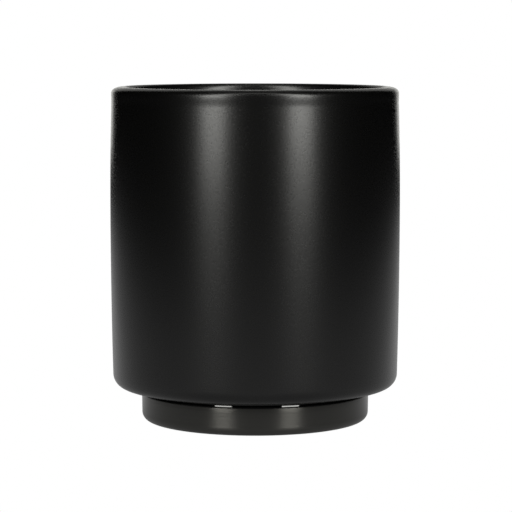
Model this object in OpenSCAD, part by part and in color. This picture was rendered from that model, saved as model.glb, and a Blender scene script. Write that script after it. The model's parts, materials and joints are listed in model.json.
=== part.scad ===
// Candle jar: a round glazed cup that stands on a narrower turned foot, with a gloss seam
// ring closing the joint between them. Z is the jar's axis: the foot stands on z = 0 and
// the mouth opens upwards. Every piece is turned about that axis.

/* [Body] */
// Outside diameter at the belly, the widest point
body_d = 80; // [70:0.5:110]
// Height of the whole jar, from the table to the top of the lip
jar_h = 92.3; // [75:0.1:130]
// Thickness of the side wall, measured at the lip
wall_t = 4.5; // [3:0.1:7]
// Thickness of the floor inside the body
floor_t = 4.5; // [3:0.1:8]
// Height of the belly above the table
belly_h = 58; // [35:0.5:60]
// How far the side draws in from the belly down to the bottom corner
base_draw = 0.57; // [0.1:0.01:2]
// How far the side draws in from the belly up to the lip
neck_draw = 0.5; // [0.1:0.01:2]
// Radius of the outside corner round the bottom of the body
corner_r = 3.7; // [1:0.1:5]
// Radius of the inside corner between wall and floor
well_r = 6; // [2:0.5:12]

/* [Lip] */
// Height of the lip's outer rounding, from its widest point to its top
lip_h = 1.6; // [1:0.1:5]
// Width of the lip's outer rounding, from its widest point in to its top
lip_w = 3; // [1:0.1:5]
// Height of the lip's inner rounding, from the top down to the straight bore
lip_inner_h = 1.8; // [1:0.1:5]
// How far the lip's roll stands proud of the side below it
lip_swell = 0.1; // [0:0.01:0.5]
// Height over which the lip's roll fades into the side
lip_fade = 3; // [1:0.1:8]

/* [Foot] */
// Outside diameter of the foot
foot_d = 63; // [52:0.5:68]
// Height of the foot
foot_h = 7.65; // [6:0.05:20]
// Radius of the foot's bottom edge
foot_edge_r = 2.3; // [0.5:0.1:4]
// Width of the flat rim that the foot stands on, inside its rounded edge
rim_w = 4.7; // [2:0.1:12]
// Depth of the hollow under the foot
recess_h = 1.2; // [0.4:0.1:2]

/* [Seam] */
// Height of the seam ring, which is the gap between the foot and the body
seam_h = 1.65; // [1:0.05:4]
// Width of the foot's top left bare outside the seam ring
seam_land = 0.35; // [0.1:0.05:2]
// Depth of the hollow curve round the outside of the seam ring
seam_cove = 0.1; // [0.05:0.01:0.4]
// How much further in the seam ring's top edge is than its bottom edge
seam_lean = 0.07; // [0:0.01:0.4]
// Width of the seam ring, from its outer edge in to the spigot under the body
seam_w = 9; // [4:0.5:16]
// Depth that the spigot reaches into the foot, which fits round it
spigot_reach = 3; // [1:0.1:3.2]
// Clearance round and under the spigot, for the bond
bond_gap = 0.15; // [0.05:0.05:0.4]

/* [Hidden] */
$fn = 128;

arc_steps = 12;        // straight steps in a quarter round
side_steps = 20;       // straight steps up the side, from the bottom corner to below the lip
roll_steps = 8;        // straight steps where the lip's roll fades into the side

belly_r = body_d / 2;
underside_z = foot_h + seam_h;
side_bottom_z = underside_z + corner_r;
lip_z = jar_h - lip_h;
lip_outer_r = belly_r - neck_draw + lip_swell;
mouth_r = lip_outer_r - wall_t;
crest_r = lip_outer_r - lip_w;
well_z = underside_z + floor_t;
foot_r = foot_d / 2;
recess_r = foot_r - foot_edge_r - rim_w;
seam_r = foot_r - seam_land;
socket_r = seam_r - seam_w;
spigot_r = socket_r - bond_gap;
spigot_z = foot_h - spigot_reach;
socket_z = spigot_z - bond_gap;

// Points on an ellipse about (cx, cz) with half-axes a and b, from angle t0 to angle t1
function arc(cx, cz, a, b, t0, t1, steps = arc_steps) =
    [for (i = [0:steps]) let (t = t0 + (t1 - t0) * i / steps) [cx + a * cos(t), cz + b * sin(t)]];

// Half height of an arc's chord and its depth give the arc's radius
function arc_r(half_chord, depth) = (half_chord * half_chord + depth * depth) / (2 * depth);

// How far an arc of radius r has fallen away at a distance x from its highest point
function fall(r, x) = r - sqrt(r * r - x * x);

// The side is two long arcs that meet at the belly with the same upright tangent
base_arc_r = arc_r(belly_h - side_bottom_z, base_draw);
neck_arc_r = arc_r(lip_z - belly_h, neck_draw);
function barrel_r(z) = belly_r - fall(z < belly_h ? base_arc_r : neck_arc_r, z - belly_h);

// The lip's roll: 1 at its widest point, easing to 0 at lip_fade below it
function roll(u) = u >= 1 ? 0 : (1 + cos(180 * u)) / 2;
function side_r(z) = barrel_r(z) + lip_swell * roll((lip_z - z) / lip_fade);

// Evenly spaced heights above z0, up to and with z1
function levels(z0, z1, steps) = [for (i = [1:steps]) z0 + (z1 - z0) * i / steps];
roll_z = lip_z - lip_fade;
side_levels = concat(levels(side_bottom_z, roll_z, side_steps), levels(roll_z, lip_z, roll_steps));

// Outline of the vessel, from the spigot's bottom round the outside and back down the inside
vessel_outline = concat(
    [[0, spigot_z], [spigot_r, spigot_z], [spigot_r, underside_z]],
    arc(side_r(side_bottom_z) - corner_r, side_bottom_z, corner_r, corner_r, -90, 0),
    [for (z = side_levels) [side_r(z), z]],
    arc(crest_r, lip_z, lip_w, lip_h, 0, 90),
    arc(crest_r, jar_h - lip_inner_h, crest_r - mouth_r, lip_inner_h, 90, 180),
    arc(mouth_r - well_r, well_z + well_r, well_r, well_r, 0, -90),
    [[0, well_z]]
);

// The cup: floor, side wall and rolled lip, with the spigot that centres it on the foot
module vessel() {
    color([0.11, 0.11, 0.108])
    rotate_extrude()
    polygon(vessel_outline);
}

// The seam ring's outer face is an arc over a chord that leans in from bottom to top
seam_half = norm([seam_lean, seam_h]) / 2;
seam_arc_r = arc_r(seam_half, seam_cove);
seam_swing = asin(seam_half / seam_arc_r);
seam_tilt = atan(seam_lean / seam_h);
seam_arc_x = seam_r - seam_lean / 2 + (seam_arc_r - seam_cove) * cos(seam_tilt);
seam_arc_z = foot_h + seam_h / 2 + (seam_arc_r - seam_cove) * sin(seam_tilt);

// Outline of the seam ring: flat top, bottom and inside, and a cove round the outside
seam_outline = concat(
    [[socket_r, underside_z], [socket_r, foot_h]],
    arc(seam_arc_x, seam_arc_z, seam_arc_r, seam_arc_r,
        180 + seam_tilt + seam_swing, 180 + seam_tilt - seam_swing)
);

// The bead of gloss glaze that fills the joint round the spigot
module seam_ring() {
    color([0.02, 0.02, 0.02])
    rotate_extrude()
    polygon(seam_outline);
}

// Outline of the foot: the turned edge, the hollow beneath and the socket for the spigot
foot_outline = concat(
    [[0, recess_h], [recess_r - recess_h, recess_h], [recess_r, 0]],
    arc(foot_r - foot_edge_r, foot_edge_r, foot_edge_r, foot_edge_r, -90, 0),
    [[foot_r, foot_h], [socket_r, foot_h], [socket_r, socket_z], [0, socket_z]]
);

// The turned base that the jar stands on
module foot() {
    color([0.16, 0.16, 0.155])
    rotate_extrude()
    polygon(foot_outline);
}

vessel();
seam_ring();
foot();
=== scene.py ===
# %% [markdown]
# # A black candle jar on a turned foot
#
# The jar is three pieces that share one axis: a satin-glazed cup, a narrower foot, and a
# thin ring of gloss glaze that closes the joint between them. All three are round, so all
# three are modelled as a potter or a turner thinks of them: draw half of the section, then
# spin it about the axis.
#
# The CAD model is loaded first and is the frame for everything. Its outer sizes are read
# from it, so the new pieces can't drift away from it.

# %% Load the frame and keep its box
import json
import math

import bpy
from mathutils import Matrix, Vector


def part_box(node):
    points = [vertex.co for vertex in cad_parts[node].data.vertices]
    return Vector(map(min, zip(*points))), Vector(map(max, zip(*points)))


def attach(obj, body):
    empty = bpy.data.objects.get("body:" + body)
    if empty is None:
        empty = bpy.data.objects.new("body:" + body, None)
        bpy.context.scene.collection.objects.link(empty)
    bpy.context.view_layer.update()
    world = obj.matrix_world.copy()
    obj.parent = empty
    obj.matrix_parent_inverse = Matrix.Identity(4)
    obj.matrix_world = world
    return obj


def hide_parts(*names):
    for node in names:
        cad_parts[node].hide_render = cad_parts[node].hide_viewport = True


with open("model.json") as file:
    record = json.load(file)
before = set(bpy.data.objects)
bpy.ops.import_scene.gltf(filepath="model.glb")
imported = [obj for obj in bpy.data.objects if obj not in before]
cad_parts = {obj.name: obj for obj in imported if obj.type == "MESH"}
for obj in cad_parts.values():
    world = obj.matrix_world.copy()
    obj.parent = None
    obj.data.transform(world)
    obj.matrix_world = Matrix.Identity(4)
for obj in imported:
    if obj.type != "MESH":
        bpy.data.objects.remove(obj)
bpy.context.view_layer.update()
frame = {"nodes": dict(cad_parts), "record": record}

# %% [markdown]
# ## Camera
#
# The jar is seen from the front, a little above its rim, through a long lens from about
# 66 cm. A short lens close up would take in the jar just as well, but it would open the rim
# into a wide ellipse and pinch the foot. The long one keeps the sides nearly parallel, and
# the rim shows as a very thin ellipse. The camera is made before the pieces. It stands a
# hair to the right of the jar's axis, and it aims at about half the jar's height.

# %% Make the camera
MM = 0.001
SENSOR_W = 36.0
LENS = 168.0
CAMERA_DISTANCE = 659.5 * MM
CAMERA_HEIGHT = 108.5 * MM
CAMERA_SIDE = 0.25 * MM
AIM_HEIGHT = 45.4 * MM


def aim(thing, target):
    """Turns a camera or a light so that it looks from where it is towards the target."""
    way = Vector(target) - thing.location
    thing.rotation_euler = way.to_track_quat("-Z", "Y").to_euler()


bpy.ops.object.camera_add(location=(CAMERA_SIDE, -CAMERA_DISTANCE, CAMERA_HEIGHT))
camera = bpy.context.object
camera.name = "front_camera"
camera.data.lens = LENS
camera.data.sensor_width = SENSOR_W
camera.data.clip_start = 10 * MM
aim(camera, (CAMERA_SIDE, 0, AIM_HEIGHT))
bpy.context.scene.camera = camera
print("camera at", [round(c, 4) for c in camera.location])

# %% [markdown]
# ## Sizes
#
# Diameters and heights come from the CAD nodes' boxes, and the bore from the mount at the
# mouth. What is too fine to read from a box, such as a corner's radius, is named in the
# section of the piece that it belongs to.

# %% Read the sizes that the frame gives
vessel_low, vessel_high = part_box("vessel")
ring_low, ring_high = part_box("seam_ring")
foot_low, foot_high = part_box("foot")
mouth = next(m for m in frame["record"]["mounts"] if m["name"] == "mouth")

BELLY_R = vessel_high[0]
JAR_H = vessel_high[2]
SPIGOT_Z = vessel_low[2]
MOUTH_R = mouth["dims"]["r_mm"] * MM
UNDERSIDE_Z = ring_high[2]
SEAM_R = ring_high[0]
FOOT_R = foot_high[0]
FOOT_H = foot_high[2]
print("belly", round(2 * BELLY_R / MM, 2), "mm wide, jar", round(JAR_H / MM, 2), "mm high")

# %% [markdown]
# The three pieces meet in the joint. A short spigot under the cup drops through the ring
# into a socket in the foot, with a little room for the bond, so all three are sized from
# the socket's radius.

# %% Size the joint
SEAM_W = 9 * MM
BOND_GAP = 0.15 * MM
SOCKET_R = SEAM_R - SEAM_W
SPIGOT_R = SOCKET_R - BOND_GAP
SOCKET_Z = SPIGOT_Z - BOND_GAP
print("spigot", round(2 * SPIGOT_R / MM, 2), "mm wide")

# %% [markdown]
# ## Drawing and spinning a section
#
# A round piece could start from a cylinder and be bevelled and scaled ring by ring. The
# cup's side is a long, very slight curve, though, and its lip is two quarter ellipses, so
# it is easier to draw the half section once and spin it. One vertex is pushed from point to
# point with Extrude, the way a pencil would follow the outline, and Spin turns that line
# into a closed skin. The ends of the spin meet, so the doubles are merged, and only then
# are the normals turned outwards. With 384 steps to the turn, a flat on the cup is about
# 0.65 mm wide, which is fine enough for the outline and the highlights to look round.

# %% Points along a curve


def arc(cx, cz, a, b, start, end, steps):
    """Points on an ellipse about (cx, cz) with half-axes a and b, between two angles."""
    turn = math.radians(end - start) / steps
    angles = [math.radians(start) + i * turn for i in range(steps + 1)]
    return [(cx + a * math.cos(t), cz + b * math.sin(t)) for t in angles]


def levels(z0, z1, steps):
    """Evenly spaced heights between two ends, both left out."""
    return [z0 + (z1 - z0) * i / steps for i in range(1, steps)]


def arc_r(half_chord, depth):
    """Radius of the arc with this half chord and depth."""
    return (half_chord**2 + depth**2) / (2 * depth)


def fall(r, x):
    """How far an arc of radius r has dropped at a distance x from its top."""
    return r - math.sqrt(r * r - x * x)


print("an arc of 4 steps has", len(arc(0, 0, 1, 1, 0, 90, 4)), "points")

# %% Draw a section
START_SIZE = 1 * MM


def nothing_selected():
    """Leaves edit mode and deselects every object."""
    if bpy.context.object and bpy.context.object.mode != "OBJECT":
        bpy.ops.object.mode_set(mode="OBJECT")
    bpy.ops.object.select_all(action="DESELECT")


def draw_section(name, outline):
    """A small plane, merged to one vertex that is then extruded along the outline."""
    nothing_selected()
    first_x, first_z = outline[0]
    bpy.ops.mesh.primitive_plane_add(size=START_SIZE, location=(first_x, 0, first_z))
    piece = bpy.context.object
    piece.name = name
    piece.data.name = name
    bpy.ops.object.transform_apply(location=True, rotation=True, scale=True)
    bpy.ops.object.mode_set(mode="EDIT")
    bpy.ops.mesh.select_all(action="SELECT")
    bpy.ops.mesh.merge(type="CENTER")
    for (x0, z0), (x1, z1) in zip(outline, outline[1:]):
        step = (x1 - x0, 0, z1 - z0)
        bpy.ops.mesh.extrude_region_move(TRANSFORM_OT_translate={"value": step})
    print(name, "is drawn with", len(outline), "points")
    return piece


# %% Spin a section
TURN_STEPS = 384
MERGE_AT = 0.001 * MM


def spin_section(piece):
    """Spins the section about the jar's axis and closes it."""
    bpy.ops.mesh.select_all(action="SELECT")
    bpy.ops.mesh.spin(
        steps=TURN_STEPS, angle=math.tau, center=(0, 0, 0), axis=(0, 0, 1)
    )
    bpy.ops.mesh.select_all(action="SELECT")
    bpy.ops.mesh.remove_doubles(threshold=MERGE_AT)
    bpy.ops.mesh.normals_make_consistent(inside=False)
    bpy.ops.object.mode_set(mode="OBJECT")
    print(piece.name, "has", len(piece.data.polygons), "faces")


def turned(name, outline):
    """A closed turned piece from its half section."""
    piece = draw_section(name, outline)
    spin_section(piece)
    return piece


# %% Smooth a piece
CRISP_ABOVE = 40


def select_only(piece):
    """Makes the piece the one that the next operator acts on."""
    nothing_selected()
    piece.select_set(True)
    bpy.context.view_layer.objects.active = piece


def smooth(piece):
    """Smooth shading, with every edge that turns by more than CRISP_ABOVE left crisp."""
    select_only(piece)
    bpy.ops.object.shade_smooth_by_angle(angle=math.radians(CRISP_ABOVE))


print("edges over", CRISP_ABOVE, "degrees stay crisp")

# %% [markdown]
# ## The cup
#
# The cup is cast in clay and fired. Its side bows out by about half a millimetre, drawing
# in to the bottom corner and to the neck. The lip is a soft roll that stands a hair proud
# of the wall, which is what makes the thin bright line and the darker band below it.
#
# A straight wall with a bevelled rim would be quicker to make. But the long highlights show
# every change of slope, and on a straight wall they would be dead straight too. So the bow
# is two long arcs that meet at the belly, and the roll is added to them as half a cosine
# wave, which has no edge of its own.

# %% The cup's side
BELLY_Z = 58 * MM
BASE_DRAW = 0.57 * MM
NECK_DRAW = 0.5 * MM
CORNER_R = 3.7 * MM
LIP_H = 1.6 * MM
LIP_SWELL = 0.1 * MM
LIP_FADE = 3 * MM
SIDE_STEPS = 36
ROLL_STEPS = 10

side_z = UNDERSIDE_Z + CORNER_R
lip_z = JAR_H - LIP_H
fade_z = lip_z - LIP_FADE
base_arc_r = arc_r(BELLY_Z - side_z, BASE_DRAW)
neck_arc_r = arc_r(lip_z - BELLY_Z, NECK_DRAW)


def side_r(z):
    """Outside radius of the cup at a height on its side."""
    r = BELLY_R - fall(base_arc_r if z < BELLY_Z else neck_arc_r, z - BELLY_Z)
    u = (lip_z - z) / LIP_FADE
    return r + (LIP_SWELL * (1 + math.cos(math.pi * u)) / 2 if u < 1 else 0)


side = [(side_r(z), z) for z in levels(side_z, fade_z, SIDE_STEPS) + [fade_z]]
side += [(side_r(z), z) for z in levels(fade_z, lip_z, ROLL_STEPS)]
print("side has", len(side), "levels")

# %% [markdown]
# The lip turns over in two quarter ellipses that meet at its crest: a broad one outside and
# a tighter one that drops into the bore. The inside is a straight bore with a round corner
# down to the floor, as a mould would leave it.

# %% The cup's lip
LIP_W = 3 * MM
LIP_INNER_H = 1.8 * MM
LIP_STEPS = 20
LIP_INNER_STEPS = 16

lip_r = BELLY_R - NECK_DRAW + LIP_SWELL
crest_r = lip_r - LIP_W
bore_z = JAR_H - LIP_INNER_H
lip = arc(crest_r, lip_z, LIP_W, LIP_H, 0, 90, LIP_STEPS)[:-1]
lip += arc(crest_r, bore_z, crest_r - MOUTH_R, LIP_INNER_H, 90, 180, LIP_INNER_STEPS)
print("lip is", round((lip_r - MOUTH_R) / MM, 2), "mm thick")

# %% The cup's inside
FLOOR_T = 4.5 * MM
WELL_R = 6 * MM
BORE_STEPS = 24
WELL_STEPS = 14
FLOOR_RINGS = (0.7, 0.5, 0.3, 0.15)

floor_z = UNDERSIDE_Z + FLOOR_T
well_z = floor_z + WELL_R
inside = [(MOUTH_R, z) for z in levels(bore_z, well_z, BORE_STEPS)]
inside += arc(MOUTH_R - WELL_R, well_z, WELL_R, WELL_R, 0, -90, WELL_STEPS)
inside += [(MOUTH_R * share, floor_z) for share in FLOOR_RINGS]
inside += [(0, floor_z)]
print("cup is", round((JAR_H - floor_z) / MM, 2), "mm deep inside")

# %% Draw and spin the cup
CORNER_STEPS = 12

spigot = [(0, SPIGOT_Z), (SPIGOT_R, SPIGOT_Z), (SPIGOT_R, UNDERSIDE_Z)]
corner_x = side_r(side_z) - CORNER_R
corner = arc(corner_x, side_z, CORNER_R, CORNER_R, -90, 0, CORNER_STEPS)
cup = turned("cup", spigot + corner + side + lip + inside)

# %% [markdown]
# No cast cup is perfectly even. A Displace modifier with a large, soft Clouds texture moves
# the skin by a few hundredths of a millimetre, too little to see as a dent but enough to
# let the long highlights waver as they do on real glaze. Pushing points about by hand could
# do the same, but it would leave small dents, and the texture has none.

# %% Let the cup waver a little
CUP_WAVER = 0.05 * MM
WAVER_SIZE = 28 * MM


def waver(piece, depth, size):
    """Moves the skin in and out along its normals by up to half the depth."""
    clouds = bpy.data.textures.new(piece.name + "_waver", "CLOUDS")
    clouds.noise_scale = size
    clouds.noise_depth = 1
    select_only(piece)
    bpy.ops.object.modifier_add(type="DISPLACE")
    displace = piece.modifiers[-1]
    displace.texture = clouds
    displace.texture_coords = "LOCAL"
    displace.strength = depth
    displace.mid_level = 0.5
    bpy.ops.object.modifier_apply(modifier=displace.name)
    print(piece.name, "wavers by", depth / MM, "mm")


waver(cup, CUP_WAVER, WAVER_SIZE)
smooth(cup)

# %% [markdown]
# ## The seam ring
#
# Where the cup meets the foot, gloss glaze has pooled in the joint and set with a hollow
# outer face, like paint in a corner. The hollow matters: its lower half looks up at the
# lights, so it mirrors them as two small bright bars in an otherwise black line. A flat
# band would mirror nothing but the dark, so the face is one arc. It leans in a little
# towards its top, as glaze does when it sags.

# %% Draw and spin the seam ring
SEAM_COVE = 0.1 * MM
SEAM_LEAN = 0.07 * MM
COVE_STEPS = 20

seam_h = UNDERSIDE_Z - FOOT_H
seam_half = math.hypot(SEAM_LEAN, seam_h) / 2
cove_r = arc_r(seam_half, SEAM_COVE)
swing = math.degrees(math.asin(seam_half / cove_r))
lean = math.atan2(SEAM_LEAN, seam_h)
cove_x = SEAM_R - SEAM_LEAN / 2 + (cove_r - SEAM_COVE) * math.cos(lean)
cove_z = FOOT_H + seam_h / 2 + (cove_r - SEAM_COVE) * math.sin(lean)
cove_start = 180 + math.degrees(lean) + swing
cove_end = cove_start - 2 * swing
ring_outline = [(SOCKET_R, UNDERSIDE_Z), (SOCKET_R, FOOT_H)]
ring_outline += arc(cove_x, cove_z, cove_r, cove_r, cove_start, cove_end, COVE_STEPS)
ring_outline += [(SOCKET_R, UNDERSIDE_Z)]
ring = turned("glaze_ring", ring_outline)
smooth(ring)

# %% [markdown]
# ## The foot
#
# The foot is turned on a wheel with a flat tool, which leaves fine rings all round it. Its
# lower edge is rounded over and its top edge is left nearly sharp, with just the corner
# taken off. The side isn't quite straight: it tapers in a hair towards the bottom, and it
# falls away a little just below the top. Underneath, a shallow hollow leaves a flat rim to
# stand on.
#
# The rings could all be bump in the material, but then they would be missing from the mesh.
# So they are real ridges, a few thousandths of a millimetre deep, and the material adds
# only the finest ones.

# %% The foot's side
FOOT_EDGE_R = 2.3 * MM
FOOT_TAPER = 0.08 * MM
TOP_BREAK = 0.18 * MM
CROWN = 0.06 * MM
CROWN_H = 1.3 * MM
RIDGE_DEPTH = 0.004 * MM
RIDGE_STEPS = 40

side_top = FOOT_H - TOP_BREAK


def ridge(i):
    """Depth of the turning marks at one step: two waves that never fall into step."""
    return RIDGE_DEPTH * (math.sin(1.9 * i) + 0.7 * math.sin(0.83 * i + 1))


def foot_side_r(i, z):
    """Radius of the foot at one step up its side, which is at this height."""
    taper = FOOT_TAPER * (side_top - z) / (side_top - FOOT_EDGE_R)
    crown = CROWN * max(0, 1 - (side_top - z) / CROWN_H) ** 2
    return FOOT_R - taper - crown - RIDGE_DEPTH + ridge(i) / 2


side_levels = levels(FOOT_EDGE_R, side_top, RIDGE_STEPS)
foot_side = [(foot_side_r(i, z), z) for i, z in enumerate(side_levels)]
print("foot's side has", len(foot_side), "ridge points")

# %% Draw and spin the foot
RIM_W = 4.7 * MM
RECESS_H = 1.2 * MM
EDGE_STEPS = 14
BREAK_STEPS = 5

recess_r = FOOT_R - FOOT_EDGE_R - RIM_W
edge_x = FOOT_R - FOOT_TAPER - FOOT_EDGE_R
break_x = FOOT_R - CROWN - TOP_BREAK
foot_outline = [(0, RECESS_H), (recess_r - RECESS_H, RECESS_H), (recess_r, 0)]
foot_outline += arc(edge_x, FOOT_EDGE_R, FOOT_EDGE_R, FOOT_EDGE_R, -90, 0, EDGE_STEPS)
foot_outline += foot_side
foot_outline += arc(break_x, side_top, TOP_BREAK, TOP_BREAK, 0, 90, BREAK_STEPS)
foot_outline += [(SOCKET_R, FOOT_H), (SOCKET_R, SOCKET_Z), (0, SOCKET_Z)]
foot = turned("turned_foot", foot_outline)
smooth(foot)

# %% [markdown]
# ## Materials
#
# All three finishes are black and differ only in how they treat light, so roughness and
# bump do the work. An image could hold such a finish, but it would blur close up and need
# a seam somewhere. A Noise texture does neither, so every pattern is made of nodes. They
# read Object coordinates, in metres, so a Noise scale is in cycles per metre: 1600 gives a
# grain of about 0.6 mm.

# %% Start a material


def new_material(name):
    """A new material, with its node tree, its shader and the place on the object."""
    material = bpy.data.materials.new(name)
    material.use_nodes = True
    tree = material.node_tree
    coordinates = tree.nodes.new("ShaderNodeTexCoord")
    return material, tree, tree.nodes["Principled BSDF"], coordinates.outputs["Object"]


def give(piece, material):
    """Puts the finished material on the piece."""
    piece.data.materials.append(material)
    print(piece.name, "is finished in", material.name)


# %% Patterns
USUAL_LOW = 0.3
USUAL_HIGH = 0.7


def noise(tree, vector, scale, detail):
    """A Noise texture's value on this vector."""
    node = tree.nodes.new("ShaderNodeTexNoise")
    node.inputs["Scale"].default_value = scale
    node.inputs["Detail"].default_value = detail
    tree.links.new(vector, node.inputs["Vector"])
    return node.outputs["Fac"]


def spread(tree, value, low, high):
    """Maps a noise value, which stays mostly between the usual two, onto a range."""
    node = tree.nodes.new("ShaderNodeMapRange")
    node.inputs["From Min"].default_value = USUAL_LOW
    node.inputs["From Max"].default_value = USUAL_HIGH
    node.inputs["To Min"].default_value = low
    node.inputs["To Max"].default_value = high
    tree.links.new(value, node.inputs["Value"])
    return node.outputs["Result"]


print("noise mostly lies between", USUAL_LOW, "and", USUAL_HIGH)

# %% What a pattern can do: tone, roughness and relief


def paint(tree, shader, value, dark, light):
    """Colours the shader from dark to light as the noise value rises."""
    node = tree.nodes.new("ShaderNodeMix")
    node.data_type = "RGBA"
    node.inputs["A"].default_value = (*dark, 1)
    node.inputs["B"].default_value = (*light, 1)
    tree.links.new(spread(tree, value, 0, 1), node.inputs["Factor"])
    tree.links.new(node.outputs["Result"], shader.inputs["Base Color"])


def roughen(tree, shader, value, low, high):
    """Runs the shader's roughness from the first number to the second with the value."""
    tree.links.new(spread(tree, value, low, high), shader.inputs["Roughness"])


def bump(tree, height, depth, under=None):
    """A Bump node that reads a height from 0 to 1 as this depth in metres."""
    node = tree.nodes.new("ShaderNodeBump")
    node.inputs["Strength"].default_value = 1.0
    node.inputs["Distance"].default_value = depth
    tree.links.new(height, node.inputs["Height"])
    if under:
        tree.links.new(under, node.inputs["Normal"])
    return node.outputs["Normal"]


# %% [markdown]
# ### Satin glaze
#
# The cup's glaze is a dry satin black. Close up it has a fine grain that breaks the
# highlights into a faint speckle, and under that a slow unevenness from how thickly the
# glaze was laid.
#
# A bump deep enough to show as a speckle would also break up the outline's thin light line,
# so most of the grain is a shift in roughness, with only a shallow bump. The unevenness is
# a slow bump of its own, and the grain lies on top of it.

# %% Make the satin glaze
GRAIN_SCALE = 1600
GRAIN_DEPTH = 0.008 * MM
PATCH_SCALE = 90
PATCH_DEPTH = 0.01 * MM
GLAZE_IOR = 1.5

satin, tree, shader, place = new_material("satin_black_glaze")
grain = noise(tree, place, GRAIN_SCALE, detail=3)
patches = noise(tree, place, PATCH_SCALE, detail=2)
paint(tree, shader, grain, (0.0012, 0.0012, 0.0012), (0.0024, 0.0024, 0.0023))
roughen(tree, shader, grain, 0.28, 0.25)
uneven = bump(tree, patches, PATCH_DEPTH)
tree.links.new(bump(tree, grain, GRAIN_DEPTH, uneven), shader.inputs["Normal"])
shader.inputs["IOR"].default_value = GLAZE_IOR
give(cup, satin)

# %% [markdown]
# ### Gloss glaze
#
# The glaze in the joint ran while it was molten, so it is a black mirror. A perfect mirror
# would give ruler-straight reflections, so a slow bump bends them and the gloss comes and
# goes a little along the ring.

# %% Make the gloss glaze
RUN_SCALE = 220
RUN_DEPTH = 0.02 * MM

gloss, tree, shader, place = new_material("gloss_black_glaze")
runs = noise(tree, place, RUN_SCALE, detail=1)
paint(tree, shader, runs, (0.0008, 0.0008, 0.0008), (0.002, 0.002, 0.002))
roughen(tree, shader, runs, 0.03, 0.06)
tree.links.new(bump(tree, runs, RUN_DEPTH), shader.inputs["Normal"])
shader.inputs["IOR"].default_value = GLAZE_IOR
give(ring, gloss)

# %% [markdown]
# ### Turned foot
#
# The tool marks run round the foot, so the pattern must change quickly across them and
# hardly at all along them. On the side, across is up and down; underneath, it is in and
# out. Radius plus height grows across the marks in both places, so it is worked out from
# the Object coordinates and used as the fast direction of the noise.

# %% Stretch the pattern along the tool marks
MARK_STRETCH = (12, 12, 5000)


def length(tree, vector):
    """The length of a vector, as a node's value."""
    node = tree.nodes.new("ShaderNodeVectorMath")
    node.operation = "LENGTH"
    tree.links.new(vector, node.inputs[0])
    return node.outputs["Value"]


def along_marks(tree, place):
    """The place on the foot, drawn out along the marks and squeezed across them."""
    split = tree.nodes.new("ShaderNodeSeparateXYZ")
    tree.links.new(place, split.inputs["Vector"])
    flat = tree.nodes.new("ShaderNodeCombineXYZ")
    tree.links.new(split.outputs["X"], flat.inputs["X"])
    tree.links.new(split.outputs["Y"], flat.inputs["Y"])
    across = tree.nodes.new("ShaderNodeMath")
    across.operation = "ADD"
    tree.links.new(length(tree, flat.outputs["Vector"]), across.inputs[0])
    tree.links.new(split.outputs["Z"], across.inputs[1])
    joined = tree.nodes.new("ShaderNodeCombineXYZ")
    tree.links.new(split.outputs["X"], joined.inputs["X"])
    tree.links.new(split.outputs["Y"], joined.inputs["Y"])
    tree.links.new(across.outputs["Value"], joined.inputs["Z"])
    stretch = tree.nodes.new("ShaderNodeMapping")
    stretch.inputs["Scale"].default_value = MARK_STRETCH
    tree.links.new(joined.outputs["Vector"], stretch.inputs["Vector"])
    return stretch.outputs["Vector"]


print("marks change", MARK_STRETCH[2] // MARK_STRETCH[0], "times faster across than along")

# %% [markdown]
# Fine parallel marks do one more thing: they throw a highlight wide across themselves and
# keep it narrow along themselves. Drawing every mark would take a far finer mesh, so the
# shader's Anisotropic setting does it, with a tangent that runs round the axis. The clay is
# bare of thick glaze here and its shine is faintly warm, which Specular Tint gives.

# %% Make the turned foot's finish
MARK_DEPTH = 0.006 * MM
MARK_SPREAD = 0.85
QUARTER_TURN = 0.25
TURNED_IOR = 1.64
WARM_SHINE = (1, 0.98, 0.92, 1)

turned_black, tree, shader, place = new_material("turned_black")
marks = noise(tree, along_marks(tree, place), scale=1, detail=3)
paint(tree, shader, marks, (0.010, 0.010, 0.0095), (0.015, 0.015, 0.0143))
roughen(tree, shader, marks, 0.275, 0.3)
tree.links.new(bump(tree, marks, MARK_DEPTH), shader.inputs["Normal"])
round_axis = tree.nodes.new("ShaderNodeTangent")
round_axis.direction_type = "RADIAL"
round_axis.axis = "Z"
tree.links.new(round_axis.outputs["Tangent"], shader.inputs["Tangent"])
shader.inputs["Anisotropic"].default_value = MARK_SPREAD
shader.inputs["Anisotropic Rotation"].default_value = QUARTER_TURN
shader.inputs["IOR"].default_value = TURNED_IOR
shader.inputs["Specular Tint"].default_value = WARM_SHINE
give(foot, turned_black)

# %% [markdown]
# ## Tying the pieces to the frame
#
# Nothing on the jar moves, so every piece rides on the one body, root, and the CAD node it
# was built over is hidden. The hidden CAD node gets the same finish as its piece.

# %% Ride, hide the CAD nodes and give them their pieces' finishes
for piece, node, finish in (
    (cup, "vessel", "satin_glaze"),
    (ring, "seam_ring", "gloss_glaze"),
    (foot, "foot", "turned_foot"),
):
    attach(piece, "root")
    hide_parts(node)
    frame["nodes"][node].data.materials.clear()
    frame["nodes"][node].data.materials.append(piece.data.materials[0])

# %% [markdown]
# ## Floor, light and surroundings
#
# The jar stands on a plain pale floor that runs off into a white surround, both as bright
# as white paper. Black glaze shows only what it mirrors, so if it mirrored all that white
# it would turn grey. A studio solves this with black cloth; here the floor and the
# surround are simply hidden from reflections, and only chosen shapes are left to mirror.

# %% Make the floor
FLOOR_W = 12


def glow(name, strength):
    """A material that only gives off white light."""
    material, tree, shader, place = new_material(name)
    shader.inputs["Base Color"].default_value = (0, 0, 0, 1)
    shader.inputs["Roughness"].default_value = 1
    shader.inputs["Specular IOR Level"].default_value = 0
    shader.inputs["Emission Color"].default_value = (1, 1, 1, 1)
    shader.inputs["Emission Strength"].default_value = strength
    return material, tree, shader, place


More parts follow.
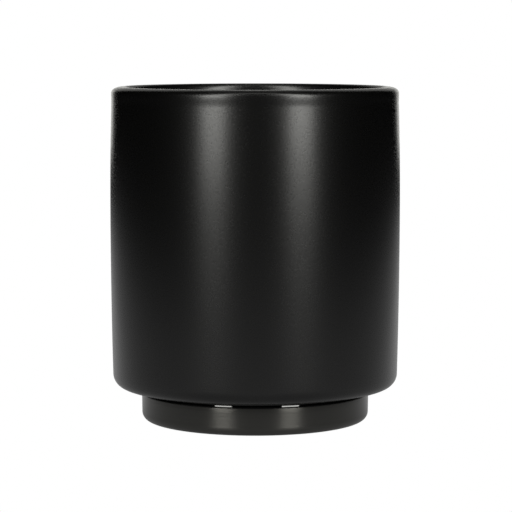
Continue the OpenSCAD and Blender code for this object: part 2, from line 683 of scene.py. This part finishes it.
nothing_selected()
bpy.ops.mesh.primitive_plane_add(size=FLOOR_W, location=(0, 0, 0))
floor = bpy.context.object
floor.name = "floor"
give(floor, glow("pale_floor", 1)[0])
floor.visible_glossy = False
floor.visible_diffuse = False
floor.visible_shadow = False

# %% Make the white surround
world = bpy.data.worlds.new("white_surround")
bpy.context.scene.world = world
world.use_nodes = True
ray = world.node_tree.nodes.new("ShaderNodeLightPath")
backdrop = world.node_tree.nodes["Background"]
backdrop.inputs["Color"].default_value = (1, 1, 1, 1)
world.node_tree.links.new(ray.outputs["Is Camera Ray"], backdrop.inputs["Strength"])
print("the surround is white to the camera and dark to the glaze")

# %% [markdown]
# ### The table's glow
#
# What the jar does mirror of the table is a pool of light, an oval that is longer than it
# is wide, reaches further behind the jar than in front and fades out towards its edge. It
# lifts the lower half of the side out of black and draws the light line along both edges,
# where the glaze is seen at a flat angle. The pool is dim right at the foot, where the jar
# keeps the light off the table.
#
# Lighting the floor itself would do this too, but then the floor's own white would change
# with it. So the pool is a disc of its own just below the floor, seen only in reflections.

# %% Make the pool's disc
GLOW_BACK = 0.3
GLOW_R = 0.9
GLOW_BELOW = 0.5 * MM
DISC_SIDES = 64

nothing_selected()
bpy.ops.mesh.primitive_circle_add(
    vertices=DISC_SIDES,
    radius=GLOW_R,
    fill_type="NGON",
    location=(0, GLOW_BACK, -GLOW_BELOW),
)
pool = bpy.context.object
pool.name = "table_glow"
pool_light, tree, shader, place = glow("table_glow", 0)
give(pool, pool_light)
pool.visible_camera = False
pool.visible_shadow = False

# %% Fade the pool towards its edge
# Each step is a share of the way out from the pool's middle, and the brightness there.
GLOW_STEPS = ((0.0, 0.6), (0.3, 0.55), (0.4, 0.38), (0.55, 0.34), (0.75, 0.17), (1.0, 0.0))
GLOW_NARROW = 1.6

outwards = tree.nodes.new("ShaderNodeVectorMath")
outwards.operation = "MULTIPLY"
outwards.inputs[1].default_value = (GLOW_NARROW / GLOW_R, 1 / GLOW_R, 0)
tree.links.new(place, outwards.inputs[0])
fade = tree.nodes.new("ShaderNodeValToRGB")
ramp = fade.color_ramp
for spot, bright in GLOW_STEPS[1:-1]:
    ramp.elements.new(spot)
for stop, (spot, bright) in zip(ramp.elements, GLOW_STEPS):
    stop.position = spot
    stop.color = (bright, bright, bright, 1)
tree.links.new(length(tree, outwards.outputs["Vector"]), fade.inputs["Fac"])
print("pool fades in", len(ramp.elements), "steps")

# %% Dim the pool near the foot
SHADE_IN = 0.03
SHADE_OUT = 0.075
SHADE = 0.6

from_axis = tree.nodes.new("ShaderNodeVectorMath")
from_axis.operation = "ADD"
from_axis.inputs[1].default_value = (0, GLOW_BACK, 0)
tree.links.new(place, from_axis.inputs[0])
shade = tree.nodes.new("ShaderNodeMapRange")
shade.inputs["From Min"].default_value = SHADE_IN
shade.inputs["From Max"].default_value = SHADE_OUT
shade.inputs["To Min"].default_value = SHADE
tree.links.new(length(tree, from_axis.outputs["Vector"]), shade.inputs["Value"])
dimmed = tree.nodes.new("ShaderNodeMath")
dimmed.operation = "MULTIPLY"
tree.links.new(fade.outputs["Color"], dimmed.inputs[0])
tree.links.new(shade.outputs["Result"], dimmed.inputs[1])
tree.links.new(dimmed.outputs["Value"], shader.inputs["Emission Strength"])
print("right at the foot the pool has", SHADE, "of its brightness")

# %% [markdown]
# ### Studio lights
#
# Two tall, narrow strip lights stand in front, one each side, a metre away. Each gives one
# long highlight. The lowest part of each strip is the brightest, so each strip is two lamps,
# one over the other. They start a hand's breadth above the table, so the highlight dies
# away towards the bottom of the jar.
#
# A round lamp would give a spot instead of a long highlight, and a big window a broad one,
# so each strip is an area light drawn out tall and narrow.

# %% A light to place
WARM = (1.0, 0.997, 0.955)


def lamp(name, spot, target, width, height, radiance):
    """A flat light of this size and brightness, which the camera doesn't see."""
    bpy.ops.object.light_add(type="AREA", location=spot)
    light = bpy.context.object
    light.name = name
    light.data.shape = "RECTANGLE"
    light.data.size = width
    light.data.size_y = height
    light.data.energy = radiance * math.pi * width * height
    light.data.color = WARM
    light.visible_camera = False
    aim(light, target)
    print(name, "gives", round(light.data.energy, 2), "W")


# %% Stand the strip lights in front
STRIP_DISTANCE = 1.0
STRIP_W = 0.31
STRIP_BOTTOM = 0.09
STRIP_JOIN = 0.2
STRIP_TOP = 1.9
LEFT = -32.1
RIGHT = 35.5


def strip(name, azimuth, low, high, radiance):
    """An upright strip light that faces the jar; azimuth 0 is the camera's side."""
    a = math.radians(azimuth)
    middle = (low + high) / 2
    spot = (STRIP_DISTANCE * math.sin(a), -STRIP_DISTANCE * math.cos(a), middle)
    lamp(name, spot, (0, 0, middle), STRIP_W, high - low, radiance)


strip("left_low_strip", LEFT, STRIP_BOTTOM, STRIP_JOIN, radiance=13.0)
strip("left_tall_strip", LEFT, STRIP_JOIN, STRIP_TOP, radiance=7)
strip("right_low_strip", RIGHT, STRIP_BOTTOM, STRIP_JOIN, radiance=13.6)
strip("right_tall_strip", RIGHT, STRIP_JOIN, STRIP_TOP, radiance=8)

# %% [markdown]
# Behind the jar a low white panel, with a weaker one over it, lights the edges of the side
# and the far side of the lip. A soft box overhead lights the top of the lip and the floor
# inside.

# %% Hang the panels behind and the box overhead
PANEL_BACK = 1.5
PANEL_W = 1.4
OVERHEAD_Z = 1.6


def back_panel(name, low, high, radiance):
    """An upright panel behind the jar, between two heights."""
    middle = (low + high) / 2
    lamp(name, (0, PANEL_BACK, middle), (0, 0, middle), PANEL_W, high - low, radiance)


back_panel("low_back_panel", low=0, high=0.36, radiance=1.5)
back_panel("high_back_panel", low=0.35, high=1.55, radiance=0.35)
lamp("overhead_box", (0, 0, OVERHEAD_Z), (0, 0, 0), width=0.9, height=0.5, radiance=1.0)

# %% [markdown]
# ## Colour
#
# A film curve would lift the blacks and dull the white floor, so colours are shown as they
# are.

# %% Show colour with no film curve
view = bpy.context.scene.view_settings
view.view_transform = "Standard"
view.look = "None"
print("view transform:", view.view_transform)
